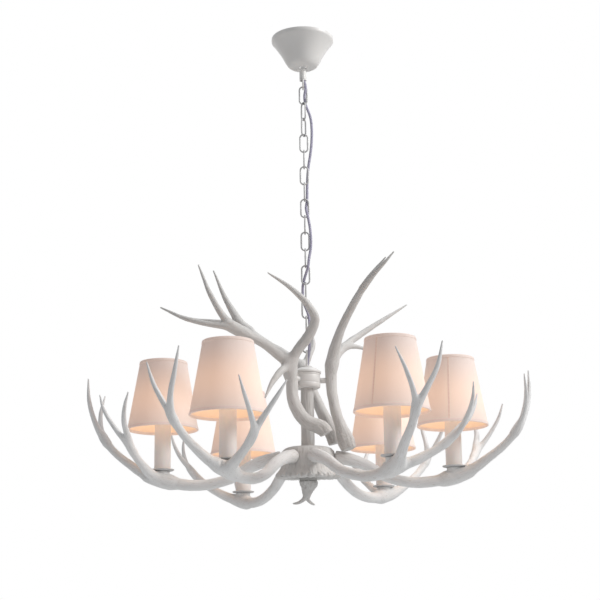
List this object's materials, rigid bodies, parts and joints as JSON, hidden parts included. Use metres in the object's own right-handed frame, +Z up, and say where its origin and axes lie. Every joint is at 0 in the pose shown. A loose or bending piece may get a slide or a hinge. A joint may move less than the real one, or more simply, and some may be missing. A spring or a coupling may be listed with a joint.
{
  "type": "chandelier",
  "caption": "Antler chandelier: forked arms round a ribbed hub, shaded candle lamps, a crown of antlers, a chain with a woven cord and a bell-shaped ceiling canopy.",
  "frame": {"origin": "middle of the ceiling strap's upper face, centred between its two screw slots", "axes": "+Z up, the chandelier hangs along -Z; -Y is the side the picture is taken from, +X its right"},
  "size_m": [0.8815, 0.8108, 0.9792],
  "materials": {
    "white_metal": "matt off-white paint",
    "plated_steel": "zinc plated",
    "cord_cloth": "woven flex, pale lavender grey",
    "antler_resin": "cast resin, chalky white paint",
    "hub_resin": "cast resin, chalky white paint",
    "drip_metal": "satin grey-white paint",
    "holder_plastic": "moulded",
    "candle_tube": "smooth cream-white candle tube",
    "bulb_glass": "frosted, lit",
    "shade_cloth": "off-white linen, peach lining"
  },
  "bodies": {
    "ceiling_fitting": {"ceiling_strap": "plated_steel", "canopy": "white_metal", "collar_nut": "white_metal", "top_loop": "white_metal"},
    "link_01": {"link_01": "white_metal"},
    "link_02": {"link_02": "white_metal"},
    "link_03": {"link_03": "white_metal"},
    "link_04": {"link_04": "white_metal"},
    "link_05": {"link_05": "white_metal"},
    "link_06": {"link_06": "white_metal"},
    "link_07": {"link_07": "white_metal"},
    "link_08": {"link_08": "white_metal"},
    "link_09": {"link_09": "white_metal"},
    "link_10": {"link_10": "white_metal"},
    "link_11": {"link_11": "white_metal"},
    "link_12": {"link_12": "white_metal"},
    "link_13": {"link_13": "white_metal"},
    "link_14": {"link_14": "white_metal"},
    "link_15": {"link_15": "white_metal"},
    "link_16": {"link_16": "white_metal"},
    "fixture": {"antler_bl": "antler_resin", "antler_br": "antler_resin", "antler_fl": "antler_resin", "antler_fr": "antler_resin", "antler_l": "antler_resin", "antler_r": "antler_resin", "candle_sleeves": "candle_tube", "column_sleeve": "hub_resin", "column_tube": "plated_steel", "crown_back": "antler_resin", "crown_front": "antler_resin", "crown_right": "antler_resin", "crown_standoffs": "plated_steel", "cup": "hub_resin", "cup_lid": "hub_resin", "drip_plates": "drip_metal", "finial": "hub_resin", "hub_cover": "hub_resin", "hub_drum": "hub_resin", "lamp_holders": "holder_plastic", "lower_eye": "white_metal", "supply_cord": "cord_cloth"},
    "bulb_r": {"bulb_r": "bulb_glass"},
    "shade_r": {"shade_r": "shade_cloth", "carrier_r": "plated_steel"},
    "bulb_br": {"bulb_br": "bulb_glass"},
    "shade_br": {"shade_br": "shade_cloth", "carrier_br": "plated_steel"},
    "bulb_bl": {"bulb_bl": "bulb_glass"},
    "shade_bl": {"shade_bl": "shade_cloth", "carrier_bl": "plated_steel"},
    "bulb_l": {"bulb_l": "bulb_glass"},
    "shade_l": {"shade_l": "shade_cloth", "carrier_l": "plated_steel"},
    "bulb_fl": {"bulb_fl": "bulb_glass"},
    "shade_fl": {"shade_fl": "shade_cloth", "carrier_fl": "plated_steel"},
    "bulb_fr": {"bulb_fr": "bulb_glass"},
    "shade_fr": {"shade_fr": "shade_cloth", "carrier_fr": "plated_steel"}
  },
  "joints": [
    {"name": "swing_01", "type": "hinge", "parent": "ceiling_fitting", "child": "link_01", "pos_m": [0, 0, -0.1112], "axis": [0, 1, 0], "range_deg": [-4, 4], "deforming": ["supply_cord"]},
    {"name": "swing_02", "type": "hinge", "parent": "link_01", "child": "link_02", "pos_m": [0, 0, -0.1463], "axis": [1, 0, 0], "range_deg": [-4, 4], "deforming": ["supply_cord"]},
    {"name": "swing_03", "type": "hinge", "parent": "link_02", "child": "link_03", "pos_m": [0, 0, -0.1816], "axis": [-0.5, 0.866, 0], "range_deg": [-4, 4], "deforming": ["supply_cord"]},
    {"name": "swing_04", "type": "hinge", "parent": "link_03", "child": "link_04", "pos_m": [0, 0, -0.2169], "axis": [-0.5, -0.866, 0], "range_deg": [-4, 4], "deforming": ["supply_cord"]},
    {"name": "swing_05", "type": "hinge", "parent": "link_04", "child": "link_05", "pos_m": [0, 0, -0.2522], "axis": [1, 0, 0], "range_deg": [-4, 4], "deforming": ["supply_cord"]},
    {"name": "swing_06", "type": "hinge", "parent": "link_05", "child": "link_06", "pos_m": [0, 0, -0.2875], "axis": [0, 1, 0], "range_deg": [-4, 4], "deforming": ["supply_cord"]},
    {"name": "swing_07", "type": "hinge", "parent": "link_06", "child": "link_07", "pos_m": [0, 0, -0.3228], "axis": [-1, 0, 0], "range_deg": [-4, 4], "deforming": ["supply_cord"]},
    {"name": "swing_08", "type": "hinge", "parent": "link_07", "child": "link_08", "pos_m": [0, 0, -0.3581], "axis": [0, -1, 0], "range_deg": [-4, 4], "deforming": ["supply_cord"]},
    {"name": "swing_09", "type": "hinge", "parent": "link_08", "child": "link_09", "pos_m": [0, 0, -0.3934], "axis": [1, 0, 0], "range_deg": [-4, 4], "deforming": ["supply_cord"]},
    {"name": "swing_10", "type": "hinge", "parent": "link_09", "child": "link_10", "pos_m": [0, 0, -0.4287], "axis": [0, 1, 0], "range_deg": [-4, 4], "deforming": ["supply_cord"]},
    {"name": "swing_11", "type": "hinge", "parent": "link_10", "child": "link_11", "pos_m": [0, 0, -0.464], "axis": [-1, 0, 0], "range_deg": [-4, 4], "deforming": ["supply_cord"]},
    {"name": "swing_12", "type": "hinge", "parent": "link_11", "child": "link_12", "pos_m": [0, 0, -0.4993], "axis": [0, -1, 0], "range_deg": [-4, 4], "deforming": ["supply_cord"]},
    {"name": "swing_13", "type": "hinge", "parent": "link_12", "child": "link_13", "pos_m": [0, 0, -0.5346], "axis": [1, 0, 0], "range_deg": [-4, 4], "deforming": ["supply_cord"]},
    {"name": "swing_14", "type": "hinge", "parent": "link_13", "child": "link_14", "pos_m": [0, 0, -0.5699], "axis": [0, 1, 0], "range_deg": [-4, 4], "deforming": ["supply_cord"]},
    {"name": "swing_15", "type": "hinge", "parent": "link_14", "child": "link_15", "pos_m": [0, 0, -0.6052], "axis": [-1, 0, 0], "range_deg": [-4, 4], "deforming": ["supply_cord"]},
    {"name": "swing_16", "type": "hinge", "parent": "link_15", "child": "link_16", "pos_m": [0, 0, -0.6405], "axis": [0, -1, 0], "range_deg": [-4, 4], "deforming": ["supply_cord"]},
    {"name": "swing_fixture", "type": "hinge", "parent": "link_16", "child": "fixture", "pos_m": [0, 0, -0.6758], "axis": [1, 0, 0], "range_deg": [-4, 4], "deforming": ["supply_cord"]},
    {"name": "bulb_out_r", "type": "slide", "parent": "fixture", "child": "bulb_r", "axis": [0, 0, 1], "range_m": [0, 0.03]},
    {"name": "shade_lift_r", "type": "slide", "parent": "fixture", "child": "shade_r", "axis": [0, 0, 1], "range_m": [0, 0.11]},
    {"name": "bulb_out_br", "type": "slide", "parent": "fixture", "child": "bulb_br", "axis": [0, 0, 1], "range_m": [0, 0.03]},
    {"name": "shade_lift_br", "type": "slide", "parent": "fixture", "child": "shade_br", "axis": [0, 0, 1], "range_m": [0, 0.11]},
    {"name": "bulb_out_bl", "type": "slide", "parent": "fixture", "child": "bulb_bl", "axis": [0, 0, 1], "range_m": [0, 0.03]},
    {"name": "shade_lift_bl", "type": "slide", "parent": "fixture", "child": "shade_bl", "axis": [0, 0, 1], "range_m": [0, 0.11]},
    {"name": "bulb_out_l", "type": "slide", "parent": "fixture", "child": "bulb_l", "axis": [0, 0, 1], "range_m": [0, 0.03]},
    {"name": "shade_lift_l", "type": "slide", "parent": "fixture", "child": "shade_l", "axis": [0, 0, 1], "range_m": [0, 0.11]},
    {"name": "bulb_out_fl", "type": "slide", "parent": "fixture", "child": "bulb_fl", "axis": [0, 0, 1], "range_m": [0, 0.03]},
    {"name": "shade_lift_fl", "type": "slide", "parent": "fixture", "child": "shade_fl", "axis": [0, 0, 1], "range_m": [0, 0.11]},
    {"name": "bulb_out_fr", "type": "slide", "parent": "fixture", "child": "bulb_fr", "axis": [0, 0, 1], "range_m": [0, 0.03]},
    {"name": "shade_lift_fr", "type": "slide", "parent": "fixture", "child": "shade_fr", "axis": [0, 0, 1], "range_m": [0, 0.11]}
  ]
}
